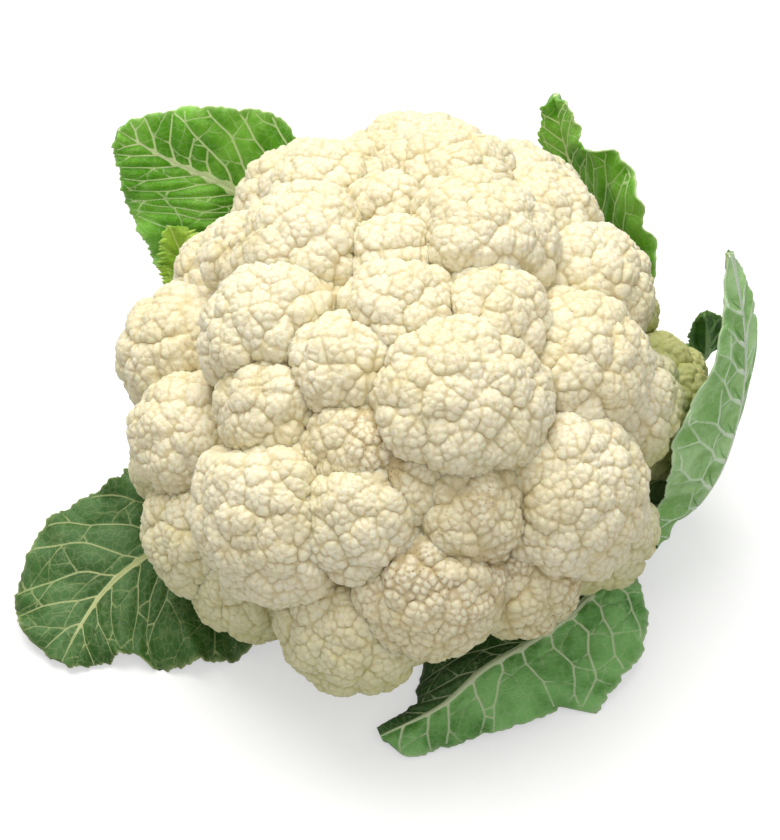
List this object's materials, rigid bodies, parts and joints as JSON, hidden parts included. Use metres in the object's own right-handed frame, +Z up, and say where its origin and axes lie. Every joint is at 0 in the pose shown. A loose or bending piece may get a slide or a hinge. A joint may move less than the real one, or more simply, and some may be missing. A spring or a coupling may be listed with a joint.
{
  "type": "cauliflower",
  "caption": "Head of cauliflower: a cream dome of knobbly florets on a cut stalk, with green wrapper leaves standing and lying around it.",
  "frame": {"origin": "centre of the flat cut face of the stalk, on the surface that the head stands on", "axes": "+Z up through the crown of the curd, -Y towards the front, +X towards the tall leaf on the right"},
  "size_m": [0.2312, 0.2089, 0.1392],
  "materials": {
    "curd": "matte, finely granular cream white, ochre in the creases",
    "stalk": "satin pale green rind, cream where it is cut",
    "leaf_green": "satin bright green with pale veins",
    "leaf_blue_green": "satin deep green with a grey waxy bloom and yellow-green veins",
    "leaf_glaucous": "matte grey-green underside with raised pale veins",
    "leaf_young": "satin yellow-green"
  },
  "bodies": {
    "root": {"stalk": "stalk", "floret_crown_1": "curd", "floret_crown_2": "curd", "floret_crown_3": "curd", "floret_crown_4": "curd", "floret_crown_5": "curd", "floret_crown_6": "curd", "floret_crown_7": "curd", "floret_crown_8": "curd", "floret_shoulder_1": "curd", "floret_shoulder_2": "curd", "floret_shoulder_3": "curd", "floret_shoulder_4": "curd", "floret_shoulder_5": "curd", "floret_shoulder_6": "curd", "floret_shoulder_7": "curd", "floret_shoulder_8": "curd", "floret_shoulder_9": "curd", "floret_shoulder_10": "curd", "floret_flank_1": "curd", "floret_flank_2": "curd", "floret_flank_3": "curd", "floret_flank_4": "curd", "floret_flank_5": "curd", "floret_flank_6": "curd", "floret_flank_7": "curd", "floret_flank_8": "curd", "floret_flank_9": "curd", "floret_flank_10": "curd", "floret_flank_11": "curd", "floret_flank_12": "curd", "floret_flank_13": "curd", "floret_flank_14": "curd", "floret_skirt_1": "curd", "floret_skirt_2": "curd", "floret_skirt_3": "curd", "floret_skirt_4": "curd", "floret_skirt_5": "curd", "floret_skirt_6": "curd", "floret_skirt_7": "curd", "floret_skirt_8": "curd", "floret_skirt_9": "curd", "floret_skirt_10": "curd", "floret_skirt_11": "curd", "leaf_front_left": "leaf_blue_green", "leaf_front_right": "leaf_blue_green", "leaf_right_tall": "leaf_glaucous", "leaf_right_small": "leaf_blue_green", "leaf_back_right": "leaf_green", "leaf_back_left": "leaf_green", "leaflet_left": "leaf_young", "leaflet_front": "leaf_young"}
  },
  "joints": []
}
